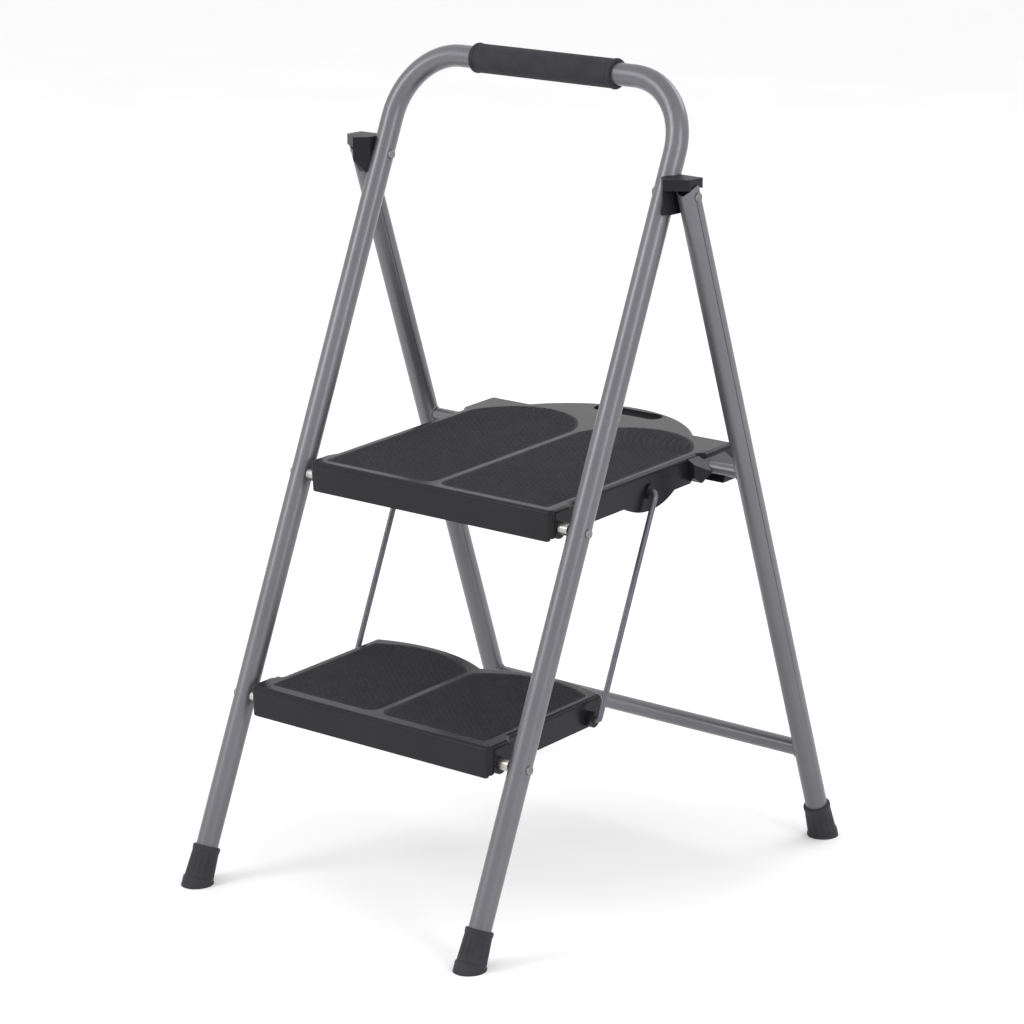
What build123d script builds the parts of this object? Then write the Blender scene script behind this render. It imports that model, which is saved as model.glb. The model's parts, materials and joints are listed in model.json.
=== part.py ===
from build123d import *
import math
import os

# Two-step folding step stool, in millimetres, standing open on its four feet.
# Frame: +X to the user's right, +Y to the rear, +Z up; origin on the floor,
# midway between the feet.

# How far a cutting or joining shape runs past what it cuts or joins
OVER = 1.0

# Tubular frames
TUBE_R = 12.5
TUBE_WALL = 1.2
FOOT_Y = 293.0
FRONT_LEG_X = 201.5
REAR_LEG_X = 234.0
FRONT_LEAN = 22.1
TOP_BAR_Z = 895.5
TOP_BEND_R = 77.5
HINGE_Z = 783.4
TUBE_END_GAP = 9.0

# Rear frame cross members
BRACE_Z = 113.7
BRACE_R = 9.5
BRACE_WALL = 1.2
CROSS_ROD_Z = 460.6
CROSS_ROD_R = 6.8

# Steps: heights of the pivots, tilt of the deck and profile about the pivot
TOP_PIVOT_Z = 439.5
LOWER_PIVOT_Z = 202.0
STEP_TILT = 3.3
DECK_TOP = 21.5
DECK_THICK = 3.5
SKIRT_BOTTOM = -9.5
FASCIA_BOTTOM = -13.0
WALL = 3.0
DECK_EDGE_R = 4.5
TOP_DEPTH = 357.0
TOP_HALF = 171.0
TOP_CORNER = 303.0
EAR_FRONT = 243.0
EAR_HALF = 178.0
REAR_ARC_R = 160.0
LOWER_HALF = 166.0
LOWER_CORNER = 181.0
SCALLOP_X = 86.0
SCALLOP_PEAK = 194.0
SCALLOP_DIP = 172.0
CORNER_HALF = 176.0
CORNER_REAR = 14.0
CORNER_SLOPE = 12.0
CORNER_CUT = 5.0
CORNER_DROP_R = 9.0
TOP_FRONT = -15.0
LOWER_FRONT = -19.0
POCKET_WALL = 7.5
POCKET_REAR = 34.0
POCKET_ROOF = 2.0
RIB_WALL = 2.4
RIB_PITCH = 55.0
RIBS_PER_SIDE = 2
TOP_RIB_ROWS = 3
LOWER_RIB_ROWS = 2
RIB_LOW = -2.0
TOP_RIB_REAR = 214.0
LOWER_RIB_REAR = 140.0
RIB_ROOT = 0.5
OUTLINE_R = 4.0
INNER_R = 2.0

# Treads set into the decks
TREAD_THICK = 2.3
TREAD_SEAT = 1.5
RIDGE_HALF = 4.0
TREAD_FRONT = -3.0
TREAD_MARGIN = 10.0
TREAD_FIT = 0.15
TREAD_EDGE_R = 0.6
TREAD_CORNER_R = 5.0
TREAD_RIDGE_R = 14.0
TOP_TREAD_REAR = (240.0, 297.0, 245.0)
LOWER_TREAD_REAR = (152.0, 183.0, 166.0)

# Hand slot in the top step
SLOT_LONG = 96.0
SLOT_WIDE = 22.0
SLOT_Y = 335.0
SLOT_COLLAR = 2.5
SLOT_COLLAR_H = 9.0

# Rivets, spacers and links
RIVET_R = 3.2
HEAD_R = 5.2
HEAD_H = 2.0
HEAD_DOME_R = 1.7
SPACER_R = 7.0
SPACER_GAP = 0.1
BOSS_FACE_X = 174.6
BOSS_R = 12.0
BOSS_INNER_X = 158.0
RUN_FIT = 0.08
ROD_R = 3.25
ROD_X = 180.0
ROD_BACK = 157.7
ROD_BEND_R = 5.2
ROD_BOSS_R = 8.5
ROD_BOSS_FACE_X = 174.0
ROD_BORE_INNER_X = 142.0
LUG_HALF = 44.0
LUG_DROP = 22.0
LUG_ROOT = 6.0
ROD_END_INSET = 10.0
OPEN_PIVOT_FIT = 0.45
RETAINER_R = 6.0
RETAINER_H = 2.0
RETAINER_INSET = 1.0

# Rubber feet and hand grip
FOOT_TOP_R = 15.3
FOOT_BOTTOM_R = 17.6
FOOT_LENGTH = 44.0
FOOT_RIM = 7.0
FOOT_RIM_CUT = 1.5
GRIP_HALF = 100.0
GRIP_R = 16.5
GRIP_EDGE_R = 2.5

# Hinge brackets: plan corners as (X, distance behind the hinge), and heights about it
ROOF_PLAN = ((208, -15), (214, -22), (221, -29), (244.5, -13), (244.5, 10), (208, 12))
ROOF_LOW = 7.6
ROOF_TOP = 19.6
CHEEK_LOW = -20.0
CHEEK_TAPER = ((-31.0, -3.0), (-18.0, -21.0))
HINGE_GAP = 0.3
SWING_GAP = 0.7

# Hooks under the top step's ears, which sit on the rear cross rod
HOOK_INNER_X = 160.0
HOOK_OUTER_X = 200.0
HOOK_FRONT = 226.0
HOOK_REAR = 284.0
HOOK_LOW = -9.5
HOOK_CUT = 8.0
HOOK_SLOPE_X = 172.0
HOOK_SHOULDER = 2.0
HOOK_NOSE_X = 180.0
HOOK_NOSE_REAR = 246.0
ROD_SEAT_GAP = 0.4
PASSAGE_GAP = 1.2
PASSAGE_LEAN = 31.2
PASSAGE_FLARE = 3.0
PASSAGE_LONG = 60.0

# Derived places
LEAN_RAD = math.radians(FRONT_LEAN)
HINGE_Y = -FOOT_Y + HINGE_Z * math.tan(LEAN_RAD)
REAR_LEAN = math.degrees(math.atan2(FOOT_Y - HINGE_Y, HINGE_Z))
REAR_RAD = math.radians(REAR_LEAN)
TUBE_BORE_R = TUBE_R - TUBE_WALL
LEG_INNER_X = FRONT_LEG_X - TUBE_R
LEG_OUTER_X = FRONT_LEG_X + TUBE_R
REAR_INNER_X = REAR_LEG_X - TUBE_R
REAR_OUTER_X = REAR_LEG_X + TUBE_R
DECK_UNDER = DECK_TOP - DECK_THICK
TOP_ROD_END_X = TOP_HALF - ROD_END_INSET
LOWER_ROD_END_X = LOWER_HALF - ROD_END_INSET


def front_leg_y(height):
    """Y of the front leg's axis at a height."""
    return -FOOT_Y + height * math.tan(LEAN_RAD)


def rear_leg_y(height):
    """Y of the rear leg's axis at a height."""
    return FOOT_Y - height * math.tan(REAR_RAD)


def box_between(low, high):
    """Box from its lowest to its highest corner."""
    size = [h - l for l, h in zip(low, high)]
    centre = [(h + l) / 2 for l, h in zip(low, high)]
    return Pos(*centre) * Box(*size)


def prism(plane, corners, amount):
    """Straight-sided block: a polygon on a plane, extruded."""
    return extrude(plane * make_face(Polyline(*corners, close=True)), amount=amount)


def bar_x(radius, x0, x1, y=0.0, z=0.0):
    """Round bar along X from x0 to x1."""
    return Pos((x0 + x1) / 2, y, z) * Rot(0, 90, 0) * Cylinder(radius, abs(x1 - x0))


def to_left(shape):
    """Mirror a right-hand piece to the left."""
    return mirror(shape, about=Plane.YZ)


def place_step(shape, pivot_z):
    """Tilt a step piece about its pivot and put the pivot in place."""
    return Pos(0, front_leg_y(pivot_z), pivot_z) * Rot(STEP_TILT, 0, 0) * shape


def step_point(pivot_z, back, up):
    """World Y and Z of a point given behind and above a step's pivot."""
    tilt = math.radians(STEP_TILT)
    y = front_leg_y(pivot_z) + back * math.cos(tilt) - up * math.sin(tilt)
    z = pivot_z + back * math.sin(tilt) + up * math.cos(tilt)
    return y, z


# ---------------------------------------------------------------- frames
def front_frame_tube():
    """One tube bent into both front legs and the top bar."""
    plane = Plane(
        origin=(0, -FOOT_Y, 0),
        x_dir=(1, 0, 0),
        z_dir=(0, -math.cos(LEAN_RAD), math.sin(LEAN_RAD)),
    )
    top = TOP_BAR_Z / math.cos(LEAN_RAD)
    path = plane * FilletPolyline(
        (-FRONT_LEG_X, TUBE_END_GAP),
        (-FRONT_LEG_X, top),
        (FRONT_LEG_X, top),
        (FRONT_LEG_X, TUBE_END_GAP),
        radius=TOP_BEND_R,
    )
    start = Plane(origin=path @ 0, z_dir=path % 0)
    tube = sweep(start * Circle(TUBE_R), path=path) - sweep(start * Circle(TUBE_BORE_R), path=path)
    for height in (HINGE_Z, TOP_PIVOT_Z, LOWER_PIVOT_Z):
        reach = LEG_OUTER_X + OVER
        tube -= bar_x(RIVET_R, -reach, reach, front_leg_y(height), height)
    return tube


def rear_leg():
    """Right rear leg: straight tube, rounded off about the hinge axis."""
    length = HINGE_Z / math.cos(REAR_RAD)
    plane = Plane(
        origin=(REAR_LEG_X, FOOT_Y, 0),
        x_dir=(1, 0, 0),
        z_dir=(0, -math.sin(REAR_RAD), math.cos(REAR_RAD)),
    )
    ring = Circle(TUBE_R) - Circle(TUBE_BORE_R)
    leg = extrude(plane.offset(TUBE_END_GAP) * ring, amount=length - TUBE_END_GAP)
    end = extrude(plane.offset(length) * ring, amount=TUBE_R)
    leg += end & bar_x(TUBE_R, REAR_INNER_X, REAR_OUTER_X, HINGE_Y, HINGE_Z)
    leg -= bar_x(RIVET_R + RUN_FIT, REAR_INNER_X - OVER, REAR_OUTER_X + OVER, HINGE_Y, HINGE_Z)
    return leg


def rear_leg_core(side):
    """Solid rod of a rear leg's outer size, used to cope cross members."""
    plane = Plane(
        origin=(side * REAR_LEG_X, FOOT_Y, 0),
        z_dir=(0, -math.sin(REAR_RAD), math.cos(REAR_RAD)),
    )
    return extrude(plane * Circle(TUBE_R), amount=HINGE_Z)


def cross_member(radius, height, bore):
    """Bar between the rear legs, coped to their round sides."""
    y = rear_leg_y(height)
    bar = bar_x(radius, -REAR_LEG_X, REAR_LEG_X, y, height)
    if bore:
        bar -= bar_x(bore, -REAR_LEG_X, REAR_LEG_X, y, height)
    for side in (-1, 1):
        bar -= rear_leg_core(side)
    return max(bar.solids(), key=lambda solid: solid.volume)


def foot(x, y, lean):
    """Tapered rubber foot on a leg's end, with a level sole."""
    axis = Plane(origin=(x, y, 0), x_dir=(1, 0, 0), z_dir=(0, math.sin(lean), math.cos(lean)))
    reach = 2 * FOOT_BOTTOM_R * math.tan(abs(lean))
    outline = Polyline(
        (0, -reach),
        (FOOT_BOTTOM_R, -reach),
        (FOOT_BOTTOM_R, FOOT_RIM),
        (FOOT_BOTTOM_R - FOOT_RIM_CUT / 2, FOOT_RIM + FOOT_RIM_CUT),
        (FOOT_TOP_R, FOOT_LENGTH - FOOT_RIM_CUT),
        (FOOT_TOP_R - FOOT_RIM_CUT / 2, FOOT_LENGTH),
        (TUBE_R, FOOT_LENGTH),
        (TUBE_R, TUBE_END_GAP),
        (0, TUBE_END_GAP),
        close=True,
    )
    body = axis.location * revolve(Plane.XZ * make_face(outline), axis=Axis.Z)
    room = 2 * FOOT_LENGTH
    return body & box_between((x - room, y - room, 0), (x + room, y + room, room))


def hand_grip():
    """Rubber sleeve over the middle of the top bar."""
    y = front_leg_y(TOP_BAR_Z)
    sleeve = bar_x(GRIP_R, -GRIP_HALF, GRIP_HALF, y, TOP_BAR_Z)
    sleeve = fillet(sleeve.edges().filter_by(GeomType.CIRCLE), GRIP_EDGE_R)
    return sleeve - bar_x(TUBE_R, -GRIP_HALF - OVER, GRIP_HALF + OVER, y, TOP_BAR_Z)


# ---------------------------------------------------------------- hinge
def hinge_bracket():
    """Right hinge bracket: a cheek between the legs and a roof over the rear leg's end."""
    plan = [(x, HINGE_Y + back) for x, back in ROOF_PLAN]
    face = make_face(Polyline(*plan, close=True))
    roof = extrude(Plane.XY.offset(HINGE_Z + ROOF_LOW) * face, amount=ROOF_TOP - ROOF_LOW)
    cheek = extrude(Plane.XY.offset(HINGE_Z + CHEEK_LOW) * face, amount=ROOF_TOP - CHEEK_LOW)
    inner_x = REAR_INNER_X - HINGE_GAP
    reach = FOOT_LENGTH
    cheek &= box_between(
        (FRONT_LEG_X, HINGE_Y - reach, HINGE_Z - reach),
        (inner_x, HINGE_Y + reach, HINGE_Z + reach),
    )
    (front, high), (rear, low) = CHEEK_TAPER
    wedge = [
        (HINGE_Y + front, HINGE_Z + high),
        (HINGE_Y + rear, HINGE_Z + low),
        (HINGE_Y + front, HINGE_Z + low),
    ]
    cheek -= prism(Plane.YZ.offset(LEG_INNER_X), wedge, reach)
    body = roof + cheek
    body -= bar_x(TUBE_R + SWING_GAP, inner_x, REAR_OUTER_X + OVER, HINGE_Y, HINGE_Z)
    body -= bar_x(RIVET_R, LEG_INNER_X, REAR_LEG_X, HINGE_Y, HINGE_Z)
    leg = Plane(
        origin=(FRONT_LEG_X, -FOOT_Y, 0),
        z_dir=(0, math.sin(LEAN_RAD), math.cos(LEAN_RAD)),
    )
    return body - extrude(leg * Circle(TUBE_R), amount=TOP_BAR_Z)


def rivet(inner_x, outer_x, y, z):
    """Shank along X with a domed head at each end."""
    shank = bar_x(RIVET_R, inner_x, outer_x, y, z)
    head = Cylinder(HEAD_R, HEAD_H)
    head = fillet(head.edges().sort_by(Axis.Z)[-1], HEAD_DOME_R)
    outer = Pos(outer_x + HEAD_H / 2, y, z) * Rot(0, 90, 0) * head
    inner = Pos(inner_x - HEAD_H / 2, y, z) * Rot(0, -90, 0) * head
    return shank + outer + inner


def step_spacer(y, z):
    """Steel sleeve between a front leg and a step."""
    outer = bar_x(SPACER_R, BOSS_FACE_X + SPACER_GAP, LEG_INNER_X, y, z)
    return outer - bar_x(RIVET_R, BOSS_FACE_X, LEG_INNER_X, y, z)


# ---------------------------------------------------------------- steps
def half_face(points, arcs):
    """Plan face, symmetric about X=0, from its right-hand edge chain."""
    chain = Curve() + [Line(a, b) for a, b in zip(points[:-1], points[1:])] + arcs
    whole = Curve() + chain.edges() + mirror(chain, about=Plane.YZ).edges()
    return make_face(whole.edges())


def corner_points(front, half):
    """Front corner of a step's plan: the fascia runs wider than the sides."""
    return [
        (0, front),
        (CORNER_HALF - CORNER_CUT, front),
        (CORNER_HALF, front + CORNER_CUT),
        (CORNER_HALF, CORNER_REAR),
        (half, CORNER_REAR + CORNER_SLOPE),
    ]


def top_outline(inset=0.0):
    """Plan of the top step: straight sides, rear ears and a round back."""
    half = TOP_HALF - inset
    ear = EAR_HALF - inset
    corner = TOP_CORNER - inset
    radius = REAR_ARC_R - inset
    peak = TOP_DEPTH - inset
    centre_y = peak - radius
    join_x = math.sqrt(radius**2 - (corner - centre_y) ** 2)
    mid_x = join_x / 2
    mid_y = centre_y + math.sqrt(radius**2 - mid_x**2)
    points = corner_points(TOP_FRONT + inset, half)
    points += [(half, EAR_FRONT), (ear, EAR_FRONT + EAR_HALF - TOP_HALF)]
    points += [(ear, corner), (join_x, corner)]
    arc = ThreePointArc((join_x, corner), (mid_x, mid_y), (0, peak))
    return half_face(points, [arc])


def lower_outline(inset=0.0):
    """Plan of the lower step: straight sides and a scalloped back."""
    half = LOWER_HALF - inset
    corner = LOWER_CORNER - inset
    points = corner_points(LOWER_FRONT + inset, half) + [(half, corner)]
    arc = ThreePointArc(
        (half, corner),
        (SCALLOP_X, SCALLOP_PEAK - inset),
        (0, SCALLOP_DIP - inset),
    )
    return half_face(points, [arc])


def soften(face, radius):
    """Round the plan's corners away from the centre line."""
    corners = [v for v in face.vertices() if abs(v.X) > OVER]
    return fillet(corners, radius)


def ribs(half, front, rear, rows):
    """Stiffening ribs under a deck, as a grid of thin walls."""
    grid = []
    for column in range(-RIBS_PER_SIDE, RIBS_PER_SIDE + 1):
        x = column * RIB_PITCH
        low = (x - RIB_WALL / 2, front, RIB_LOW)
        grid.append(box_between(low, (x + RIB_WALL / 2, rear, DECK_UNDER + RIB_ROOT)))
    for row in range(1, rows + 1):
        y = rear * row / rows
        low = (-half, y - RIB_WALL / 2, RIB_LOW)
        grid.append(box_between(low, (half, y + RIB_WALL / 2, DECK_UNDER + RIB_ROOT)))
    return grid


def pivot_bosses():
    """Round bosses for the rivets, with the walls that close the pockets inside."""
    right = bar_x(BOSS_R, BOSS_INNER_X, BOSS_FACE_X)
    right += box_between((BOSS_INNER_X, -BOSS_R, 0), (BOSS_FACE_X, BOSS_R, DECK_UNDER + OVER))
    wall_low = (BOSS_FACE_X - WALL, 0, SKIRT_BOTTOM)
    right += box_between(wall_low, (BOSS_FACE_X, CORNER_REAR + CORNER_SLOPE, DECK_UNDER + OVER))
    return [right, to_left(right)]


def rod_lugs(half):
    """Curved lugs below the skirts that take the link rods."""
    drop = LUG_DROP + SKIRT_BOTTOM
    profile = make_face(
        Polyline(
            (ROD_BACK - LUG_HALF, SKIRT_BOTTOM + LUG_ROOT),
            (ROD_BACK - LUG_HALF, SKIRT_BOTTOM),
        ).edges()
        + ThreePointArc(
            (ROD_BACK - LUG_HALF, SKIRT_BOTTOM),
            (ROD_BACK, SKIRT_BOTTOM - drop),
            (ROD_BACK + LUG_HALF, SKIRT_BOTTOM),
        ).edges()
        + Polyline(
            (ROD_BACK + LUG_HALF, SKIRT_BOTTOM),
            (ROD_BACK + LUG_HALF, SKIRT_BOTTOM + LUG_ROOT),
            (ROD_BACK - LUG_HALF, SKIRT_BOTTOM + LUG_ROOT),
        ).edges()
    )
    plate = extrude(Plane.YZ.offset(half - 2 * WALL) * profile, amount=2 * WALL)
    boss = bar_x(ROD_BOSS_R, half - 2 * WALL, ROD_BOSS_FACE_X, ROD_BACK)
    return plate, boss


def step_blank(outline, inner, front):
    """Deck with its skirt: an upside-down tray with a deeper fascia."""
    body = extrude(Plane.XY.offset(SKIRT_BOTTOM) * outline, amount=DECK_TOP - SKIRT_BOTTOM)
    body = fillet(body.faces().sort_by(Axis.Z)[-1].edges(), DECK_EDGE_R)
    hollow_depth = DECK_UNDER - SKIRT_BOTTOM + OVER
    body -= extrude(Plane.XY.offset(SKIRT_BOTTOM - OVER) * inner, amount=hollow_depth)
    low = (-CORNER_HALF + CORNER_CUT, front, FASCIA_BOTTOM)
    body += box_between(low, (CORNER_HALF - CORNER_CUT, front + WALL, SKIRT_BOTTOM))
    drop = corner_drop(front)
    return body - drop - to_left(drop)


def corner_drop(front):
    """What rounding off the fascia's lower right corner takes away."""
    inner_x = CORNER_HALF - CORNER_DROP_R
    top = FASCIA_BOTTOM + CORNER_DROP_R
    low = (inner_x, front - OVER, FASCIA_BOTTOM - OVER)
    block = box_between(low, (CORNER_HALF + OVER, CORNER_REAR, top))
    centre_y = (front + CORNER_REAR) / 2
    barrel = Cylinder(CORNER_DROP_R, 2 * (CORNER_REAR - front))
    return block - Pos(inner_x, centre_y, top) * Rot(90, 0, 0) * barrel


def cut_corner_pockets(body, front):
    """Open pockets round the pivots at both front corners."""
    right = box_between(
        (BOSS_FACE_X, front + POCKET_WALL, SKIRT_BOTTOM - OVER),
        (CORNER_HALF + OVER, POCKET_REAR, DECK_UNDER - POCKET_ROOF),
    )
    body -= right
    return body - to_left(right)


def bore_pivots(body):
    """Bore both pivot bosses through."""
    for side in (-1, 1):
        ends = sorted((side * (BOSS_INNER_X - OVER), side * (CORNER_HALF + OVER)))
        body -= bar_x(RIVET_R + RUN_FIT, *ends)
    return body


def bore_rods(body, fit):
    """Bore the rod holes through both sides."""
    for side in (-1, 1):
        ends = sorted((side * ROD_BORE_INNER_X, side * (CORNER_HALF + OVER)))
        body -= bar_x(ROD_R + fit, *ends, ROD_BACK)
    return body


def tread_face(rear, half, grow=0.0):
    """Plan of the right-hand tread: straight sides and a round rear end."""
    rear_inner, rear_peak, rear_outer = rear
    outer_x = half - TREAD_MARGIN
    peak_x = (RIDGE_HALF + outer_x) / 2
    start = (RIDGE_HALF, rear_inner)
    front = (RIDGE_HALF, TREAD_FRONT)
    face = make_face(
        Polyline(start, front, (outer_x, TREAD_FRONT), (outer_x, rear_outer)).edges()
        + ThreePointArc((outer_x, rear_outer), (peak_x, rear_peak), start).edges()
    )
    near_ridge = face.vertices().sort_by_distance(front)[0]
    others = [v for v in face.vertices() if v != near_ridge]
    face = fillet(others, TREAD_CORNER_R)
    face = fillet(face.vertices().sort_by_distance(front)[0], TREAD_RIDGE_R)
    return offset(face, grow) if grow else face


def top_tread_face(grow=0.0):
    """Plan of the top step's right-hand tread."""
    return tread_face(TOP_TREAD_REAR, TOP_HALF, grow)


def lower_tread_face(grow=0.0):
    """Plan of the lower step's right-hand tread."""
    return tread_face(LOWER_TREAD_REAR, LOWER_HALF, grow)


def tread(face):
    """Right-hand rubber tread, seated in the deck."""
    plate = extrude(Plane.XY.offset(DECK_TOP - TREAD_SEAT) * face, amount=TREAD_THICK)
    return fillet(plate.faces().sort_by(Axis.Z)[-1].edges(), TREAD_EDGE_R)


def seat_treads(body, face):
    """Sink the seats for both treads into a deck."""
    seat = extrude(Plane.XY.offset(DECK_TOP - TREAD_SEAT) * face, amount=2 * TREAD_SEAT)
    body -= seat
    return body - to_left(seat)


def cross_rod_local():
    """Cross rod's place behind and above the top step's pivot."""
    tilt = math.radians(STEP_TILT)
    back = rear_leg_y(CROSS_ROD_Z) - front_leg_y(TOP_PIVOT_Z)
    up = CROSS_ROD_Z - TOP_PIVOT_Z
    return (
        back * math.cos(tilt) + up * math.sin(tilt),
        up * math.cos(tilt) - back * math.sin(tilt),
    )


def ear_hook():
    """Right-hand hook: a sloped block over the cross rod, before its passage is cut."""
    top = DECK_UNDER + OVER
    side = [
        (HOOK_FRONT, top),
        (HOOK_FRONT, HOOK_LOW + HOOK_CUT),
        (HOOK_FRONT + HOOK_CUT, HOOK_LOW),
        (HOOK_REAR - HOOK_CUT, HOOK_LOW),
        (HOOK_REAR, HOOK_LOW + HOOK_CUT),
        (HOOK_REAR, top),
    ]
    end = [
        (HOOK_INNER_X, top),
        (HOOK_SLOPE_X, top),
        (HOOK_OUTER_X, HOOK_SHOULDER),
        (HOOK_OUTER_X, HOOK_LOW),
        (HOOK_INNER_X, HOOK_LOW),
    ]
    plan = [
        (HOOK_INNER_X, HOOK_FRONT),
        (HOOK_NOSE_X, HOOK_FRONT),
        (HOOK_OUTER_X, HOOK_NOSE_REAR),
        (HOOK_OUTER_X, HOOK_REAR),
        (HOOK_INNER_X, HOOK_REAR),
    ]
    body = prism(Plane.YZ.offset(HOOK_INNER_X), side, HOOK_OUTER_X - HOOK_INNER_X)
    body &= prism(Plane.XZ.offset(-HOOK_REAR), end, HOOK_REAR - HOOK_FRONT)
    return body & prism(Plane.XY.offset(HOOK_LOW), plan, top - HOOK_LOW)


def cross_rod_passage():
    """Space that the cross rod needs under the deck as the stool folds."""
    back, up = cross_rod_local()
    seat = CROSS_ROD_R + ROD_SEAT_GAP
    radius = CROSS_ROD_R + PASSAGE_GAP
    flare = radius + PASSAGE_FLARE
    channel = make_face(
        Polyline((radius, 0), (-radius, 0), (-flare, -PASSAGE_LONG), (flare, -PASSAGE_LONG), close=True)
    )
    half = HOOK_OUTER_X + OVER
    lie = Plane.YZ.offset(-half) * Pos(back, up) * Rot(0, 0, -PASSAGE_LEAN)
    body = extrude(lie * channel, amount=2 * half)
    return body + bar_x(seat, -half, half, back, up)


def hand_slot_face(grow=0.0):
    """Plan of the hand slot."""
    return Pos(0, SLOT_Y) * SlotOverall(SLOT_LONG + 2 * grow, SLOT_WIDE + 2 * grow)


def top_step_shell():
    """Moulded top step."""
    front = TOP_FRONT
    body = step_blank(soften(top_outline(), OUTLINE_R), soften(top_outline(WALL), INNER_R), front)
    for rib in ribs(TOP_HALF - WALL, front + WALL, TOP_RIB_REAR, TOP_RIB_ROWS):
        body += rib
    collar_low = DECK_UNDER - SLOT_COLLAR_H
    collar = hand_slot_face(SLOT_COLLAR)
    body += extrude(Plane.XY.offset(collar_low) * collar, amount=DECK_UNDER + OVER - collar_low)
    body = cut_corner_pockets(body, front)
    for boss in pivot_bosses():
        body += boss
    plate, boss = rod_lugs(TOP_HALF)
    for piece in (plate, boss, ear_hook()):
        body += piece
        body += to_left(piece)
    body -= cross_rod_passage()
    body -= extrude(Plane.XY * hand_slot_face(), amount=2 * DECK_TOP)
    body = seat_treads(body, top_tread_face(TREAD_FIT))
    return bore_rods(bore_pivots(body), RUN_FIT)


def lower_step_shell():
    """Moulded lower step."""
    front = LOWER_FRONT
    body = step_blank(soften(lower_outline(), OUTLINE_R), soften(lower_outline(WALL), INNER_R), front)
    for rib in ribs(LOWER_HALF - WALL, front + WALL, LOWER_RIB_REAR, LOWER_RIB_ROWS):
        body += rib
    body = cut_corner_pockets(body, front)
    for boss in pivot_bosses():
        body += boss
    boss = bar_x(ROD_BOSS_R, LOWER_HALF - 2 * WALL, ROD_BOSS_FACE_X, ROD_BACK)
    body += boss
    body += to_left(boss)
    body = seat_treads(body, lower_tread_face(TREAD_FIT))
    return bore_rods(bore_pivots(body), OPEN_PIVOT_FIT)


# ---------------------------------------------------------------- links
def link_rod():
    """Right-hand link rod, bent inwards at both ends."""
    top_y, top_z = step_point(TOP_PIVOT_Z, ROD_BACK, 0)
    low_y, low_z = step_point(LOWER_PIVOT_Z, ROD_BACK, 0)
    path = FilletPolyline(
        (TOP_ROD_END_X, top_y, top_z),
        (ROD_X, top_y, top_z),
        (ROD_X, low_y, low_z),
        (LOWER_ROD_END_X, low_y, low_z),
        radius=ROD_BEND_R,
    )
    start = Plane(origin=path @ 0, z_dir=path % 0)
    return sweep(start * Circle(ROD_R), path=path)


def rod_retainers():
    """Push-on rings that keep the rod ends in the steps."""
    rings = []
    for pivot_z, end_x in ((TOP_PIVOT_Z, TOP_ROD_END_X), (LOWER_PIVOT_Z, LOWER_ROD_END_X)):
        y, z = step_point(pivot_z, ROD_BACK, 0)
        inner_x = end_x + RETAINER_INSET
        outer_x = inner_x + RETAINER_H
        ring = bar_x(RETAINER_R, inner_x, outer_x, y, z)
        ring -= bar_x(ROD_R, inner_x - OVER, outer_x + OVER, y, z)
        rings += [ring, to_left(ring)]
    return Compound(rings)


# ---------------------------------------------------------------- assembly
def pair(name, right):
    """Right-hand piece and its mirror image as two nodes."""
    return {name + "_right": right, name + "_left": to_left(right)}


def step_rivets():
    """The four step rivets."""
    items = []
    for height in (TOP_PIVOT_Z, LOWER_PIVOT_Z):
        right = rivet(BOSS_INNER_X, LEG_OUTER_X, front_leg_y(height), height)
        items += [right, to_left(right)]
    return Compound(items)


def step_spacers():
    """The four sleeves on the step rivets."""
    items = []
    for height in (TOP_PIVOT_Z, LOWER_PIVOT_Z):
        right = step_spacer(front_leg_y(height), height)
        items += [right, to_left(right)]
    return Compound(items)


def hinge_rivets():
    """The two rivets of the main hinge."""
    right = rivet(LEG_INNER_X, REAR_OUTER_X, HINGE_Y, HINGE_Z)
    return Compound([right, to_left(right)])


def nodes():
    """Every sub-part by name."""
    result = {
        "front_frame_tube": front_frame_tube(),
        "hand_grip": hand_grip(),
        "hinge_rivets": hinge_rivets(),
        "step_rivets": step_rivets(),
        "step_spacers": step_spacers(),
        "rear_lower_brace": cross_member(BRACE_R, BRACE_Z, BRACE_R - BRACE_WALL),
        "rear_upper_cross_rod": cross_member(CROSS_ROD_R, CROSS_ROD_Z, 0),
        "top_step_shell": place_step(top_step_shell(), TOP_PIVOT_Z),
        "lower_step_shell": place_step(lower_step_shell(), LOWER_PIVOT_Z),
        "rod_retainers": rod_retainers(),
    }
    result.update(pair("front_foot", foot(FRONT_LEG_X, -FOOT_Y, LEAN_RAD)))
    result.update(pair("rear_foot", foot(REAR_LEG_X, FOOT_Y, -REAR_RAD)))
    result.update(pair("rear_leg", rear_leg()))
    result.update(pair("hinge_bracket", hinge_bracket()))
    result.update(pair("link_rod", link_rod()))
    result.update(pair("top_step_tread", place_step(tread(top_tread_face()), TOP_PIVOT_Z)))
    result.update(pair("lower_step_tread", place_step(tread(lower_tread_face()), LOWER_PIVOT_Z)))
    return result


os.makedirs("parts", exist_ok=True)
for name, shape in nodes().items():
    export_step(shape, f"parts/{name}.step")
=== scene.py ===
import json
import math

import bmesh
import bpy
from mathutils import Matrix, Vector


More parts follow.
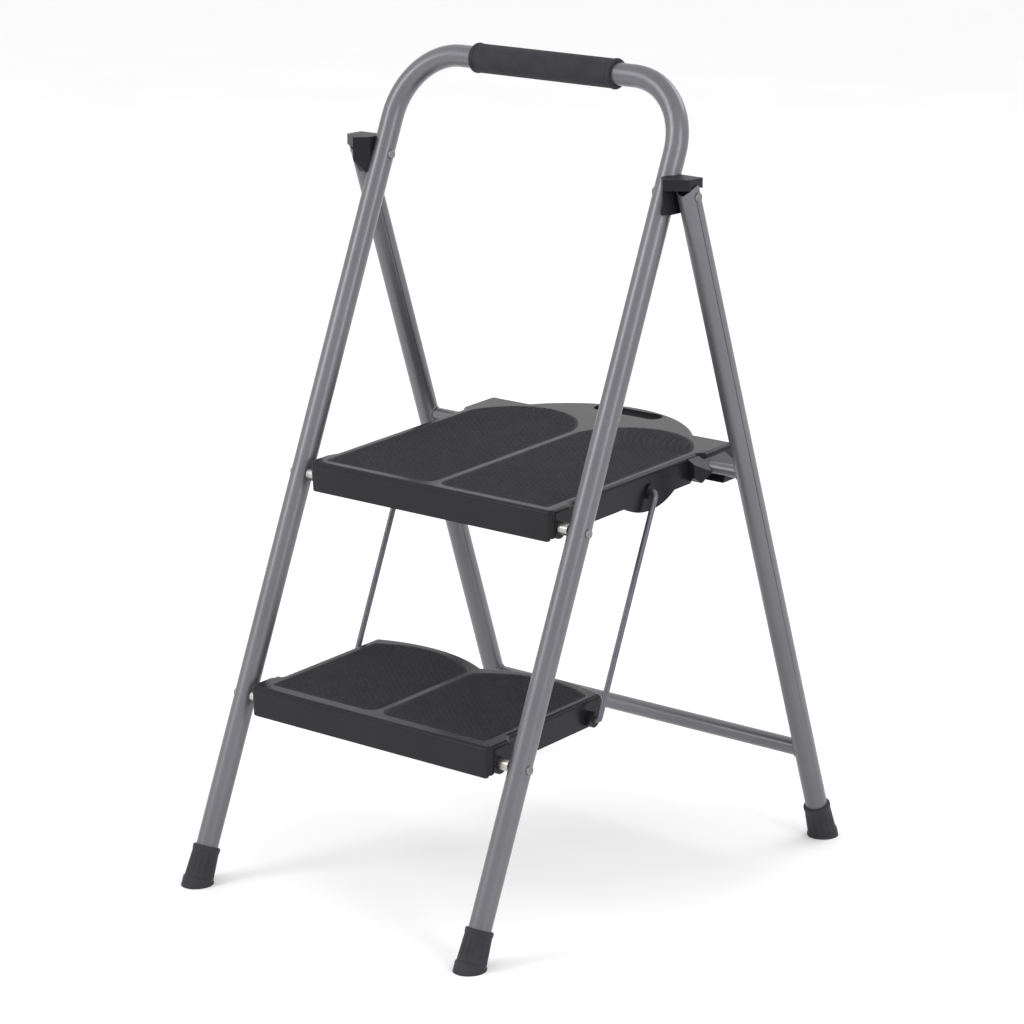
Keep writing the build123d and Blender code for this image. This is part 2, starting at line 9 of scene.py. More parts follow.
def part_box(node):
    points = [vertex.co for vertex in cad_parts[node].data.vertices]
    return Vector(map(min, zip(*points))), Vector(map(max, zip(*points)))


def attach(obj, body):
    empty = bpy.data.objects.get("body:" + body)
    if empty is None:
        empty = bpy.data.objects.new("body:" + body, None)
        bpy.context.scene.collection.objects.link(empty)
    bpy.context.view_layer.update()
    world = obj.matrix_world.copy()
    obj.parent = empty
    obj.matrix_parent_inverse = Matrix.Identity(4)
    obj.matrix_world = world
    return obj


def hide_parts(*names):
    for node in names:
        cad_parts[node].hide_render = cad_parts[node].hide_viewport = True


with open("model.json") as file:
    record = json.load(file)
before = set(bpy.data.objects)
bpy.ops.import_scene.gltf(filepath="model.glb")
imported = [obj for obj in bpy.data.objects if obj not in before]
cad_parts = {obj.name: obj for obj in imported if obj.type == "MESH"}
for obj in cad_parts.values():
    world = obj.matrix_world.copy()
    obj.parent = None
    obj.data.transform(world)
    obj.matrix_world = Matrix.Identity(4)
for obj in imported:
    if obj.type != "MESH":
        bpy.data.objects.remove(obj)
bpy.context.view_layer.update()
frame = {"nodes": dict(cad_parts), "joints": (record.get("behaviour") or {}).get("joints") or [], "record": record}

# Two-step folding step stool. Lengths are in metres and in the frame's axes:
# +X to the user's right, +Y to the rear, +Z up.
MM = 0.001
joints = {row["name"]: row for row in frame["joints"]}
nodes = frame["nodes"]

# Camera, at the photograph's viewing angle
CAMERA_AZIMUTH = 40.4
CAMERA_ELEVATION = 14.6
CAMERA_DISTANCE = 4.18
CAMERA_TARGET = Vector((0.016, -0.0066, 0.4088))
CAMERA_LENS = 132.5

# Design values shared with the CAD model
STEP_TILT = math.radians(3.3)
TUBE_R = 12.5 * MM
FRONT_LEAN = math.radians(22.1)
FOOT_Y = 293 * MM
REAR_LEG_X = 234 * MM
DECK_TOP = 21.5 * MM
RIDGE_HALF = 4 * MM
TREAD_FRONT = -3 * MM
TREAD_MARGIN = 10 * MM
TREAD_SEAT = 1.5 * MM
STEP_PIVOTS = {"top": joints["top_step_fold"], "lower": joints["lower_step_fold"]}


# ---------------------------------------------------------------- mesh tools
def new_piece(name, vertices, faces, body, slot, smooth, replaced=()):
    """Closed mesh piece that rides on a body and takes its finish from a slot.

    Edges that turn by less than smooth degrees are shaded smooth.
    """
    mesh = bpy.data.meshes.new(name)
    mesh.from_pydata([tuple(v) for v in vertices], [], faces)
    shape = bmesh.new()
    shape.from_mesh(mesh)
    bmesh.ops.recalc_face_normals(shape, faces=shape.faces)
    for face in shape.faces:
        face.smooth = True
    for edge in shape.edges:
        edge.smooth = edge.calc_face_angle(0.0) < math.radians(smooth)
    shape.to_mesh(mesh)
    shape.free()
    mesh.materials.append(materials[slot])
    piece = bpy.data.objects.new(name, mesh)
    bpy.context.scene.collection.objects.link(piece)
    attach(piece, body)
    for node in replaced:
        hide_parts(node)
    return piece


def loft(rings, closed_ends=True):
    """Faces between equal rings of points, with capped ends or joined into a loop."""
    count = len(rings[0])
    vertices = [point for ring in rings for point in ring]
    faces = []
    last = len(rings) - 1 if closed_ends else len(rings)
    for row in range(last):
        here = row * count
        there = ((row + 1) % len(rings)) * count
        for i in range(count):
            j = (i + 1) % count
            faces.append((here + i, here + j, there + j, there + i))
    if closed_ends:
        faces.append(tuple(reversed(range(count))))
        faces.append(tuple(range(last * count, last * count + count)))
    return vertices, faces


def merge(parts):
    """Several (vertices, faces) shells as one."""
    vertices, faces = [], []
    for part_vertices, part_faces in parts:
        base = len(vertices)
        vertices += part_vertices
        faces += [tuple(base + i for i in face) for face in part_faces]
    return vertices, faces


def turned(profile, place, segments, shape):
    """Ring-shaped solid: a closed (radius, height) profile turned about place's Z axis.

    shape(angle, height) gives the share of the radius that is left there.
    """
    rings = []
    for step in range(segments):
        angle = 2 * math.pi * step / segments
        ring = []
        for radius, height in profile:
            r = radius * shape(angle, height)
            ring.append(place @ Vector((r * math.cos(angle), r * math.sin(angle), height)))
        rings.append(ring)
    return loft(rings, closed_ends=False)


def mirrored(part):
    """The left-hand copy of a right-hand shell."""
    vertices, faces = part
    return [Vector((-v.x, v.y, v.z)) for v in vertices], [tuple(reversed(f)) for f in faces]


def step_place(which):
    """Matrix from a step's own axes, about its pivot, to the frame."""
    pivot = Vector(STEP_PIVOTS[which]["pos_m"])
    pivot.x = 0.0
    return Matrix.Translation(pivot) @ Matrix.Rotation(STEP_TILT, 4, "X")


# ---------------------------------------------------------------- materials
def shader(name):
    """New node material with its main shader and object coordinates."""
    material = bpy.data.materials.new(name)
    material.use_nodes = True
    tree = material.node_tree
    bsdf = tree.nodes["Principled BSDF"]
    coords = tree.nodes.new("ShaderNodeTexCoord")
    return material, tree, bsdf, coords.outputs["Object"]


def noise(tree, coords, scale, detail=2.0, stretch=None):
    """Noise in object space; scale is in features per metre."""
    if stretch:
        mapping = tree.nodes.new("ShaderNodeMapping")
        mapping.inputs["Scale"].default_value = stretch
        tree.links.new(coords, mapping.inputs["Vector"])
        coords = mapping.outputs["Vector"]
    node = tree.nodes.new("ShaderNodeTexNoise")
    node.inputs["Scale"].default_value = scale
    node.inputs["Detail"].default_value = detail
    tree.links.new(coords, node.inputs["Vector"])
    return node.outputs["Fac"]


def ramp(tree, factor, stops):
    """Colour ramp over a factor; stops are (position, colour)."""
    node = tree.nodes.new("ShaderNodeValToRGB")
    elements = node.color_ramp.elements
    while len(elements) < len(stops):
        elements.new(0.5)
    for element, (position, colour) in zip(elements, stops):
        element.position = position
        element.color = (*colour, 1.0)
    tree.links.new(factor, node.inputs["Fac"])
    return node.outputs["Color"]


def mix(tree, share, first, second):
    """Mix of two colours, with a share of the second from 0 to 1."""
    node = tree.nodes.new("ShaderNodeMix")
    node.data_type = "RGBA"
    node.inputs["Factor"].default_value = share
    colour_a, colour_b = [socket for socket in node.inputs if socket.type == "RGBA"]
    tree.links.new(first, colour_a)
    tree.links.new(second, colour_b)
    return next(socket for socket in node.outputs if socket.type == "RGBA")


def levels(tree, factor, low, high):
    """A factor spread from 0..1 to low..high."""
    node = tree.nodes.new("ShaderNodeMapRange")
    node.inputs["To Min"].default_value = low
    node.inputs["To Max"].default_value = high
    tree.links.new(factor, node.inputs["Value"])
    return node.outputs["Result"]


def bump(tree, bsdf, height, depth, below=None):
    """Bump of a depth in metres, stacked on an earlier one."""
    node = tree.nodes.new("ShaderNodeBump")
    node.inputs["Distance"].default_value = depth
    tree.links.new(height, node.inputs["Height"])
    if below:
        tree.links.new(below, node.inputs["Normal"])
    tree.links.new(node.outputs["Normal"], bsdf.inputs["Normal"])
    return node.outputs["Normal"]


def grey(value, blue=1.17):
    """Slightly cool grey."""
    return (value, value, value * blue)


COOL_TINT = (0.92, 0.92, 1.0, 1.0)
PAINT_BLUE = 1.11
FLAKE_SCALE = 2600


def frame_paint():
    """Metallic grey enamel: fine flake, faint orange peel and a clear gloss."""
    material, tree, bsdf, coords = shader("frame_paint")
    flake_stops = [(0.35, grey(0.09, PAINT_BLUE)), (0.62, grey(0.19, PAINT_BLUE))]
    drift_stops = [(0.3, grey(0.11, PAINT_BLUE)), (0.7, grey(0.15, PAINT_BLUE))]
    flake = ramp(tree, noise(tree, coords, FLAKE_SCALE, 1.0), flake_stops)
    drift = ramp(tree, noise(tree, coords, 7, 3.0), drift_stops)
    tree.links.new(mix(tree, 0.45, drift, flake), bsdf.inputs["Base Color"])
    sheen = noise(tree, coords, 120, 4.0)
    tree.links.new(levels(tree, sheen, 0.3, 0.44), bsdf.inputs["Roughness"])
    bsdf.inputs["Metallic"].default_value = 0.55
    bsdf.inputs["Coat Weight"].default_value = 0.25
    bsdf.inputs["Coat Roughness"].default_value = 0.22
    peel = bump(tree, bsdf, noise(tree, coords, 420, 2.0), 0.00006)
    bump(tree, bsdf, noise(tree, coords, FLAKE_SCALE, 1.0), 0.00001, below=peel)
    return material


def moulded_plastic(name, dark, light, rough_low, rough_high, grain=1500.0, depth=0.00006):
    """Spark-textured moulded plastic with soft tone drift and rubbed patches."""
    material, tree, bsdf, coords = shader(name)
    grain_factor = noise(tree, coords, grain, 3.0)
    drift = ramp(tree, noise(tree, coords, 9, 4.0), [(0.3, grey(dark)), (0.72, grey(light))])
    speck = ramp(tree, grain_factor, [(0.3, grey(dark * 0.75)), (0.7, grey(light * 1.2))])
    tree.links.new(mix(tree, 0.35, drift, speck), bsdf.inputs["Base Color"])
    rub = noise(tree, coords, 34, 5.0)
    tree.links.new(levels(tree, rub, rough_low, rough_high), bsdf.inputs["Roughness"])
    bsdf.inputs["Specular IOR Level"].default_value = 0.2
    bsdf.inputs["Specular Tint"].default_value = COOL_TINT
    bump(tree, bsdf, grain_factor, depth)
    return material


def rubber(name, dark, light, rough, dust):
    """Matt moulded rubber with a dusty bloom and fine pitting."""
    material, tree, bsdf, coords = shader(name)
    pits = noise(tree, coords, 2100, 4.0)
    body = ramp(tree, noise(tree, coords, 60, 5.0), [(0.3, grey(dark)), (0.7, grey(light))])
    dust_stops = [(0.5, grey(light)), (0.85, grey(light * 2.4))]
    bloom = ramp(tree, noise(tree, coords, 18, 6.0), dust_stops)
    tree.links.new(mix(tree, dust, body, bloom), bsdf.inputs["Base Color"])
    tree.links.new(levels(tree, pits, rough - 0.07, rough + 0.1), bsdf.inputs["Roughness"])
    bsdf.inputs["Specular IOR Level"].default_value = 0.28
    bsdf.inputs["Specular Tint"].default_value = COOL_TINT
    bump(tree, bsdf, pits, 0.00012)
    return material


def plated_steel(name, dark, light, rough):
    """Zinc-plated steel: brushed rings and a faint passivated tint."""
    material, tree, bsdf, coords = shader(name)
    brush = noise(tree, coords, 900, 3.0, stretch=(0.12, 1.0, 1.0))
    tint = noise(tree, coords, 90, 3.0)
    colour = ramp(tree, tint, [(0.3, dark), (0.7, light)])
    tree.links.new(colour, bsdf.inputs["Base Color"])
    tree.links.new(levels(tree, brush, rough - 0.1, rough + 0.1), bsdf.inputs["Roughness"])
    bsdf.inputs["Metallic"].default_value = 1.0
    bump(tree, bsdf, brush, 0.00003)
    return material


def rod_steel():
    """Grey coated steel rod with drawn streaks along its length."""
    material, tree, bsdf, coords = shader("rod_steel")
    streak = noise(tree, coords, 1100, 3.0, stretch=(1.0, 1.0, 0.06))
    colour = ramp(tree, streak, [(0.3, grey(0.09)), (0.7, grey(0.16))])
    tree.links.new(colour, bsdf.inputs["Base Color"])
    wear = noise(tree, coords, 150, 3.0)
    tree.links.new(levels(tree, wear, 0.3, 0.45), bsdf.inputs["Roughness"])
    bsdf.inputs["Metallic"].default_value = 0.75
    bump(tree, bsdf, streak, 0.00002)
    return material


materials = {
    "frame_paint": frame_paint(),
    "step_plastic": moulded_plastic("step_plastic", 0.009, 0.015, 0.2, 0.3),
    "bracket_plastic": moulded_plastic(
        "bracket_plastic", 0.009, 0.014, 0.36, 0.5, grain=1200.0, depth=0.00004
    ),
    "tread_rubber": rubber("tread_rubber", 0.017, 0.024, 0.72, 0.1),
    "foot_rubber": rubber("foot_rubber", 0.02, 0.028, 0.6, 0.22),
    "grip_rubber": rubber("grip_rubber", 0.02, 0.03, 0.7, 0.16),
    "bright_steel": plated_steel("bright_steel", (0.4, 0.39, 0.36), (0.54, 0.53, 0.5), 0.34),
    "dull_steel": plated_steel("dull_steel", (0.2, 0.2, 0.205), (0.28, 0.28, 0.29), 0.46),
    "rod_steel": rod_steel(),
}


WELD_REACH = 0.002 * MM
BEVEL_ANGLE = math.radians(38)


def finish_cad_nodes():
    """Gives every CAD node its material and clean shading, and softens the edges of the listed ones."""
    bevels_mm = {
        "top_step_shell": 0.5,
        "lower_step_shell": 0.5,
        "hinge_bracket_left": 0.5,
        "hinge_bracket_right": 0.5,
        "rear_leg_left": 0.3,
        "rear_leg_right": 0.3,
        "rod_retainers": 0.2,
        "step_spacers": 0.3,
    }
    slots_by_node = {row["node"]: row["material_slot"] for row in frame["record"]["subparts"]}
    for name, node in nodes.items():
        material = materials[slots_by_node[name]]
        if not node.material_slots:
            node.data.materials.append(material)
        for place in node.material_slots:
            place.material = material
        weld = node.modifiers.new("weld", "WELD")
        weld.merge_threshold = WELD_REACH
        if name in bevels_mm:
            bevel = node.modifiers.new("bevel", "BEVEL")
            bevel.width = bevels_mm[name] * MM
            bevel.segments = 2
            bevel.limit_method = "ANGLE"
            bevel.angle_limit = BEVEL_ANGLE
            bevel.use_clamp_overlap = True
        normals = node.modifiers.new("normals", "WEIGHTED_NORMAL")
        normals.keep_sharp = True


# ---------------------------------------------------------------- treads
CORNER_STEPS = 6
ARC_STEPS = 40


def spun(centre, start, angle):
    """Point at an angle from a start offset about a centre, in plan."""
    cos, sin = math.cos(angle), math.sin(angle)
    return centre + Vector((start.x * cos - start.y * sin, start.x * sin + start.y * cos))


def rounded(points, radii):
    """Polygon with rounded corners: one radius for each point."""
    result = []
    for i, (corner, radius) in enumerate(zip(points, radii)):
        before = (points[i - 1] - corner).normalized()
        after = (points[(i + 1) % len(points)] - corner).normalized()
        if radius == 0:
            result.append(corner)
            continue
        half = before.angle(after) / 2
        reach = radius / math.tan(half)
        centre = corner + (before + after).normalized() * radius / math.sin(half)
        start = corner + before * reach - centre
        turn = math.pi - 2 * half
        sign = 1 if before.x * after.y - before.y * after.x < 0 else -1
        for k in range(CORNER_STEPS + 1):
            result.append(spun(centre, start, sign * turn * k / CORNER_STEPS))
    return result


def arc_through(first, middle, last):
    """Points on the circle through three points, without the two ends."""
    a, b = middle - first, last - first
    cross = 2 * (a.x * b.y - a.y * b.x)
    ux = (b.y * a.length_squared - a.y * b.length_squared) / cross
    uy = (a.x * b.length_squared - b.x * a.length_squared) / cross
    centre = first + Vector((ux, uy))
    start = first - centre
    turn = start.angle_signed(last - centre)
    return [spun(centre, start, -turn * k / ARC_STEPS) for k in range(1, ARC_STEPS)]


TREADS = {
    "top": {"half": 171 * MM, "inner": 240 * MM, "peak": 297 * MM, "outer": 245 * MM},
    "lower": {"half": 166 * MM, "inner": 152 * MM, "peak": 183 * MM, "outer": 166 * MM},
}
TREAD_CLEAR = 0.2 * MM
SLAB_PROUD = 0.3 * MM
SLAB_EDGE = 0.5 * MM
SLAB_EDGE_MID = 0.15 * MM
CORNER_R = 5 * MM
LEAST_CORNER_R = 1 * MM
RIDGE_CORNER_R = 14 * MM
REAR_SHARE = 0.6
RIB_PITCH_Y = 3.7 * MM
RIB_PITCH_X = 9.5 * MM
RIB_GAP = 1.5 * MM
RIB_HALF = 1.0 * MM
RIB_CREST = 0.55 * MM
RIB_HEIGHT = 0.6 * MM
RIB_MARGIN = 3.0 * MM
RIB_ROOT = 0.1 * MM
LEAST_RIB = 2.2 * RIB_HALF


def tread_outline(which, inset):
    """Right-hand tread's plan, counter-clockwise, moved in by inset."""
    size = TREADS[which]
    inner = RIDGE_HALF + inset
    outer = size["half"] - TREAD_MARGIN - inset
    front = TREAD_FRONT + inset
    rear_inner = Vector((inner, size["inner"] - inset * REAR_SHARE))
    rear_outer = Vector((outer, size["outer"] - inset * REAR_SHARE))
    peak = Vector(((inner + outer) / 2, size["peak"] - inset))
    arc = arc_through(rear_outer, peak, rear_inner)
    corners = [Vector((inner, front)), Vector((outer, front)), rear_outer] + arc + [rear_inner]
    corner = max(CORNER_R - inset, LEAST_CORNER_R)
    rear_corner = corner * REAR_SHARE
    radii = [RIDGE_CORNER_R - inset, corner, rear_corner] + [0] * len(arc) + [rear_corner]
    return rounded(corners, radii)


def span_at(outline, y):
    """Lowest and highest x where a line of constant y crosses an outline."""
    crossings = []
    for a, b in zip(outline, outline[1:] + outline[:1]):
        if (a.y - y) * (b.y - y) < 0:
            crossings.append(a.x + (b.x - a.x) * (y - a.y) / (b.y - a.y))
    return (min(crossings), max(crossings)) if len(crossings) > 1 else None


def rib_bar(x0, x1, y, base, top):
    """One short raised rib with sloping flanks."""
    slope = RIB_HALF - RIB_CREST
    low = [(x0, y - RIB_HALF), (x1, y - RIB_HALF), (x1, y + RIB_HALF), (x0, y + RIB_HALF)]
    high = [
        (x0 + slope, y - RIB_CREST),
        (x1 - slope, y - RIB_CREST),
        (x1 - slope, y + RIB_CREST),
        (x0 + slope, y + RIB_CREST),
    ]
    rings = [[Vector((*p, base)) for p in low], [Vector((*p, top)) for p in high]]
    return loft(rings)


def tread_shells(which):
    """Right-hand tread in the step's axes: a rounded slab and staggered ribs."""
    low = DECK_TOP - TREAD_SEAT
    slab_top = DECK_TOP + SLAB_PROUD
    layers = [
        (low, 0.0),
        (slab_top - SLAB_EDGE, 0.0),
        (slab_top - SLAB_EDGE_MID, SLAB_EDGE_MID),
        (slab_top, SLAB_EDGE),
    ]
    rings = []
    for height, inset in layers:
        outline = tread_outline(which, TREAD_CLEAR + inset)
        rings.append([Vector((p.x, p.y, height)) for p in outline])
    shells = [loft(rings)]
    field = tread_outline(which, RIB_MARGIN)
    y = TREAD_FRONT + RIB_MARGIN + RIB_HALF
    row = 0
    while span_at(field, y):
        left, right = span_at(field, y)
        x = left - (row % 2) * RIB_PITCH_X / 2
        while x < right:
            x0 = max(x, left)
            x1 = min(x + RIB_PITCH_X - RIB_GAP, right)
            if x1 - x0 > LEAST_RIB:
                shells.append(rib_bar(x0, x1, y, slab_top - RIB_ROOT, slab_top + RIB_HEIGHT))
            x += RIB_PITCH_X
        y += RIB_PITCH_Y
        row += 1
    return merge(shells)


def make_treads():
    """The four ribbed treads."""
    for which in ("top", "lower"):
        place = step_place(which)
        vertices, faces = tread_shells(which)
        right = ([place @ v for v in vertices], faces)
        for side, part in (("right", right), ("left", mirrored(right))):
            name = f"{which}_step_tread_{side}"
            new_piece(name + "_ribbed", *part, f"{which}_step", "tread_rubber", 25.0, [name])


# ---------------------------------------------------------------- grip
GRIP_HALF = 100 * MM
GRIP_R = 16.2 * MM
GRIP_BEAD_R = 17.0 * MM
GRIP_BEAD_LONG = 5 * MM
GRIP_FLUTES = 40
GRIP_FLUTE_DEPTH = 0.012
GRIP_BORE_GAP = 0.03 * MM
GRIP_MOUTH = 0.9 * MM
GRIP_MOUTH_DEEP = 0.8 * MM
GRIP_NECK = 1.2 * MM
GRIP_FLUTE_END = 2 * MM
GRIP_BEAD_STEPS = 6
GRIP_ROWS = 24
GRIP_SEGMENTS = 320


def make_grip():
    """Rubber sleeve with a bead at each end and fine lengthwise flutes."""
    low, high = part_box("hand_grip")
    centre = (Vector(low) + Vector(high)) / 2
    place = Matrix.Translation(centre) @ Matrix.Rotation(math.radians(90), 4, "Y")
    bore = TUBE_R + GRIP_BORE_GAP
    mouth = bore + GRIP_MOUTH
    half_bead = GRIP_BEAD_LONG / 2
    end = []
    for k in range(GRIP_BEAD_STEPS + 1):
        angle = math.pi * k / GRIP_BEAD_STEPS
        radius = GRIP_BEAD_R - half_bead * (1 - math.sin(angle)) * 0.5
        end.append((radius, GRIP_HALF - half_bead + half_bead * math.cos(angle)))
    neck = GRIP_HALF - GRIP_BEAD_LONG - GRIP_NECK
    middle = [(GRIP_R, neck * (1 - 2 * k / GRIP_ROWS)) for k in range(GRIP_ROWS + 1)]
    outside = end + middle + [(r, -z) for r, z in reversed(end)]
    bore_end = GRIP_HALF - GRIP_MOUTH_DEEP
    bore_line = [(bore, -bore_end), (bore, bore_end)]
    profile = [(mouth, GRIP_HALF)] + outside + [(mouth, -GRIP_HALF)] + bore_line

    def fluted(angle, along):
        inside = abs(along) < GRIP_HALF - GRIP_BEAD_LONG - GRIP_FLUTE_END
        wave = 1 - GRIP_FLUTE_DEPTH * max(0.0, math.cos(GRIP_FLUTES * angle)) ** 3
        return wave if inside else 1.0

    part = turned(profile, place, GRIP_SEGMENTS, fluted)
    new_piece("hand_grip_sleeve", *part, "front_frame", "grip_rubber", 35.0, ["hand_grip"])


# ---------------------------------------------------------------- feet
FOOT_LENGTH = 44 * MM
FOOT_TOP_R = 15.3 * MM
FOOT_BOTTOM_R = 17.6 * MM
FOOT_FLUTES = 14
FOOT_FLUTE_DEPTH = 0.05
FOOT_SEGMENTS = 168
FOOT_ROWS = 12
FOOT_BORE_GAP = 0.05 * MM
FOOT_FLOOR = 11 * MM
FOOT_AXIS_R = 0.6 * MM
FOOT_RIM_TOP = 7.6 * MM
FLUTE_LOW = 8.3 * MM
FLUTE_HIGH = 37.1 * MM
FLUTE_FADE = 3 * MM
FLUTE_ROW_LOW = 8.4
FLUTE_ROW_SPAN = 28.6


def foot_shell(base, lean):
    """Fluted rubber foot on a leaning leg, reaching below the floor where it is later cut level."""
    axis = Matrix.Translation(base) @ Matrix.Rotation(-lean, 4, "X")
    reach = 2.5 * FOOT_BOTTOM_R * math.tan(abs(lean))
    bore = TUBE_R + FOOT_BORE_GAP
    profile = [
        (bore, FOOT_FLOOR),
        (FOOT_AXIS_R, FOOT_FLOOR),
        (FOOT_AXIS_R, -reach),
        (FOOT_BOTTOM_R, -reach),
        (FOOT_BOTTOM_R, 6.0 * MM),
        (FOOT_BOTTOM_R - 0.3 * MM, 7.0 * MM),
        (FOOT_BOTTOM_R - 1.3 * MM, FOOT_RIM_TOP),
    ]
    root_r = FOOT_BOTTOM_R - 1.2 * MM
    narrowing = FOOT_TOP_R - FOOT_BOTTOM_R + 0.5 * MM
    for k in range(FOOT_ROWS + 1):
        height = (FLUTE_ROW_LOW + FLUTE_ROW_SPAN * k / FOOT_ROWS) * MM
        share = (height - FOOT_RIM_TOP) / (FOOT_LENGTH - FOOT_RIM_TOP)
        profile.append((root_r + narrowing * share, height))
    profile += [
        (FOOT_TOP_R - 0.1 * MM, 38.2 * MM),
        (FOOT_TOP_R + 0.2 * MM, 39.2 * MM),
        (FOOT_TOP_R + 0.2 * MM, 42.6 * MM),
        (FOOT_TOP_R - 0.4 * MM, 43.7 * MM),
        (FOOT_TOP_R - 1.2 * MM, FOOT_LENGTH),
        (bore, FOOT_LENGTH),
    ]

    def fluted(angle, height):
        if not FLUTE_LOW < height < FLUTE_HIGH:
            return 1.0
        fade = min(1.0, (height - FLUTE_LOW) / FLUTE_FADE, (FLUTE_HIGH - height) / FLUTE_FADE)
        return 1 - FOOT_FLUTE_DEPTH * fade * max(0.0, math.cos(FOOT_FLUTES * angle)) ** 2

    return turned(profile, axis, FOOT_SEGMENTS, fluted)


def cut_level(piece):
    """Cuts a foot flat on the floor and closes the sole."""
    shape = bmesh.new()
    shape.from_mesh(piece.data)
    geometry = shape.verts[:] + shape.edges[:] + shape.faces[:]
    bmesh.ops.bisect_plane(
        shape, geom=geometry, plane_co=(0, 0, 0), plane_no=(0, 0, -1), clear_outer=True
    )
    rim = [edge for edge in shape.edges if edge.is_boundary]
    bmesh.ops.edgeloop_fill(shape, edges=rim)
    bmesh.ops.recalc_face_normals(shape, faces=shape.faces)
    shape.to_mesh(piece.data)
    shape.free()


def rear_lean():
    """Lean of the rear legs, from the hinge's place."""
    hinge = Vector(joints["rear_frame_fold"]["pos_m"])
    return math.atan2(FOOT_Y - hinge.y, hinge.z)


def make_feet():
    """The four rubber feet."""
    for frame_name, body in (("front", "front_frame"), ("rear", "rear_frame")):
        for side, sign in (("right", 1), ("left", -1)):
            node = f"{frame_name}_foot_{side}"
            low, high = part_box(node)
            x = (low[0] + high[0]) / 2
            y = FOOT_Y if frame_name == "rear" else -FOOT_Y
            lean = -rear_lean() if frame_name == "rear" else FRONT_LEAN
            part = foot_shell(Vector((x, y, 0)), lean)
            piece = new_piece(node + "_fluted", *part, body, "foot_rubber", 50.0, [node])
            cut_level(piece)


# ---------------------------------------------------------------- welds
BEAD_R = 1.5 * MM
BEAD_PROUD = 0.2 * MM
BEAD_GAP = 0.1 * MM
BEAD_TURNS = 96
BEAD_SIDES = 10
RIPPLES = ((0.16, 22, 1), (0.08, 5, 2))


def weld_bead(radius, centre_y, centre_z, lean, seed):
    """Rippled weld bead where a cross bar meets the right-hand rear leg."""
    rings = []
    for k in range(BEAD_TURNS):
        angle = 2 * math.pi * k / BEAD_TURNS
        ripple = 1.0
        for size, count, shift in RIPPLES:
            ripple += size * math.sin(angle * count + seed * shift)
        y = centre_y + (radius + BEAD_PROUD) * math.cos(angle)
        z = centre_z + (radius + BEAD_PROUD) * math.sin(angle)
        across = (y - centre_y) * math.cos(lean) + (z - centre_z) * math.sin(lean)
        x = REAR_LEG_X - math.sqrt(TUBE_R**2 - across**2) + BEAD_GAP
        centre = Vector((x, y, z))
        outward = Vector((0, math.cos(angle), math.sin(angle)))
        ring = []
        for m in range(BEAD_SIDES):
            around = 2 * math.pi * m / BEAD_SIDES
            offset = outward * math.cos(around) + Vector((1, 0, 0)) * math.sin(around)
            ring.append(centre + offset * BEAD_R * ripple)
        rings.append(ring)
    return loft(rings, closed_ends=False)


def make_welds():
    """Weld beads at both ends of the lower brace and of the upper cross rod."""
    for node, seed in (("rear_lower_brace", 0.4), ("rear_upper_cross_rod", 2.1)):
        low, high = (Vector(corner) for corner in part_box(node))
        radius = (high.z - low.z) / 2
        middle = (low + high) / 2
        right = weld_bead(radius, middle.y, middle.z, rear_lean(), seed)
        for side, part in (("right", right), ("left", mirrored(right))):
            new_piece(f"{node}_weld_{side}", *part, "rear_frame", "frame_paint", 60.0)


# ---------------------------------------------------------------- setting
FLOOR_REACH = 30.0


def soft_light(name, place, aim, size, power):
    """Large white area light."""
    data = bpy.data.lights.new(name, "AREA")
    data.shape = "RECTANGLE"
    data.size, data.size_y = size
    data.energy = power
    light = bpy.data.objects.new(name, data)
    light.location = place
    light.rotation_mode = "QUATERNION"
    light.rotation_quaternion = (Vector(aim) - Vector(place)).to_track_quat("-Z", "Y")
    bpy.context.scene.collection.objects.link(light)


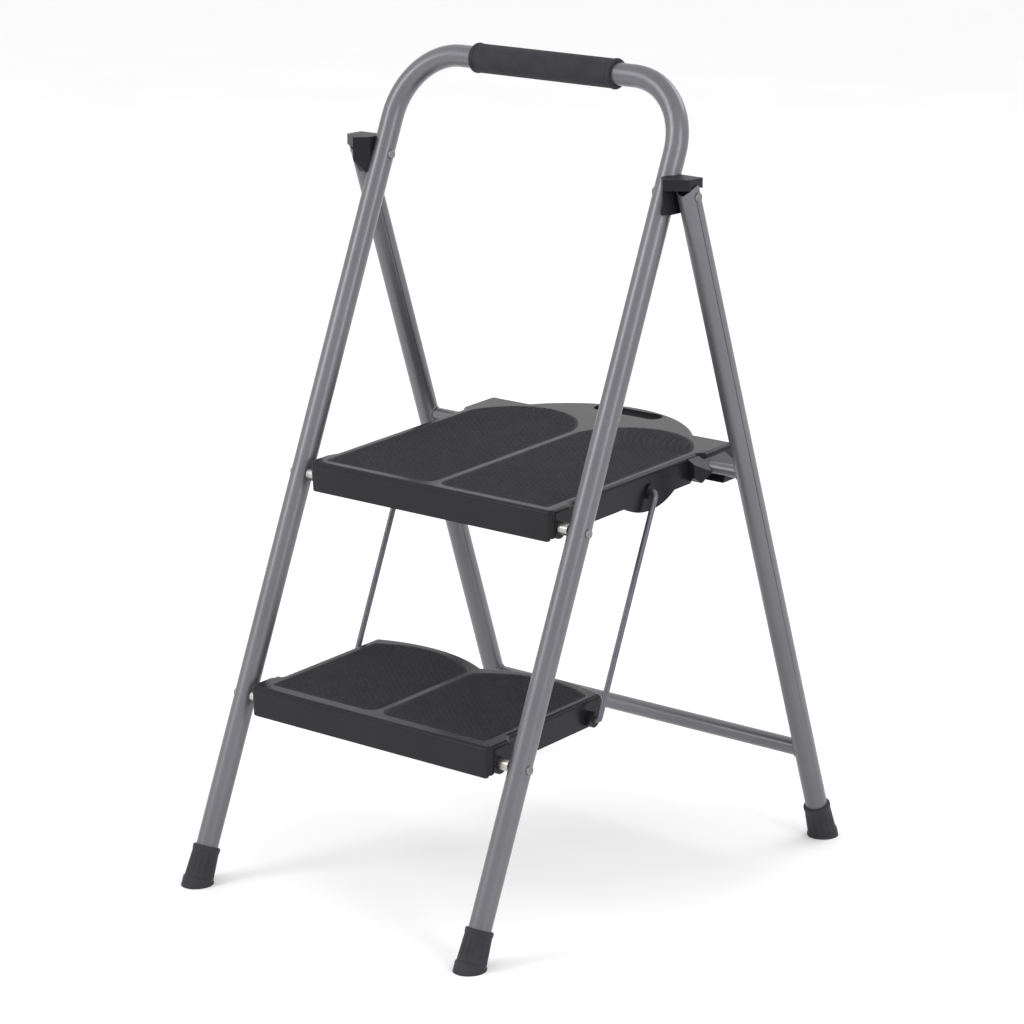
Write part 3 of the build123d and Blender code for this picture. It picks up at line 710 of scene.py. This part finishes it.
def make_floor():
    """Plain pale floor with a hint of tone drift."""
    mesh = bpy.data.meshes.new("floor")
    signs = ((-1, -1), (1, -1), (1, 1), (-1, 1))
    corners = [(x * FLOOR_REACH, y * FLOOR_REACH, 0) for x, y in signs]
    mesh.from_pydata(corners, [], [(0, 1, 2, 3)])
    floor = bpy.data.objects.new("floor", mesh)
    bpy.context.scene.collection.objects.link(floor)
    material, tree, bsdf, coords = shader("floor")
    stops = [(0.3, (0.94, 0.94, 0.94)), (0.7, (0.96, 0.96, 0.96))]
    tone = ramp(tree, noise(tree, coords, 3, 2.0), stops)
    tree.links.new(tone, bsdf.inputs["Base Color"])
    bsdf.inputs["Roughness"].default_value = 0.9
    mesh.materials.append(material)


def make_light():
    """White surroundings and soft boxes."""
    scene = bpy.context.scene
    scene.world = bpy.data.worlds.new("studio")
    scene.world.use_nodes = True
    background = scene.world.node_tree.nodes["Background"]
    background.inputs["Color"].default_value = (1.0, 1.0, 1.0, 1.0)
    background.inputs["Strength"].default_value = 1.0
    scene.view_settings.view_transform = "Standard"
    soft_light("key", (-1.6, -3.0, 2.6), (0, 0, 0.45), (1.4, 2.2), 48)
    soft_light("side", (3.2, -0.6, 2.0), (0, 0, 0.45), (0.9, 2.4), 30)
    soft_light("back", (0.6, 3.4, 3.0), (0, 0, 0.5), (2.5, 1.5), 34)


def make_camera():
    """Camera at the photograph's viewing angle."""
    azimuth, elevation = math.radians(CAMERA_AZIMUTH), math.radians(CAMERA_ELEVATION)
    back = Vector((
        math.sin(azimuth) * math.cos(elevation),
        -math.cos(azimuth) * math.cos(elevation),
        math.sin(elevation),
    ))
    data = bpy.data.cameras.new("camera")
    data.lens = CAMERA_LENS
    data.clip_end = 100.0
    camera = bpy.data.objects.new("camera", data)
    camera.location = CAMERA_TARGET + back * CAMERA_DISTANCE
    camera.rotation_mode = "QUATERNION"
    camera.rotation_quaternion = (-back).to_track_quat("-Z", "Y")
    bpy.context.scene.collection.objects.link(camera)
    bpy.context.scene.camera = camera


make_camera()
make_light()
make_floor()
finish_cad_nodes()
make_treads()
make_grip()
make_feet()
make_welds()
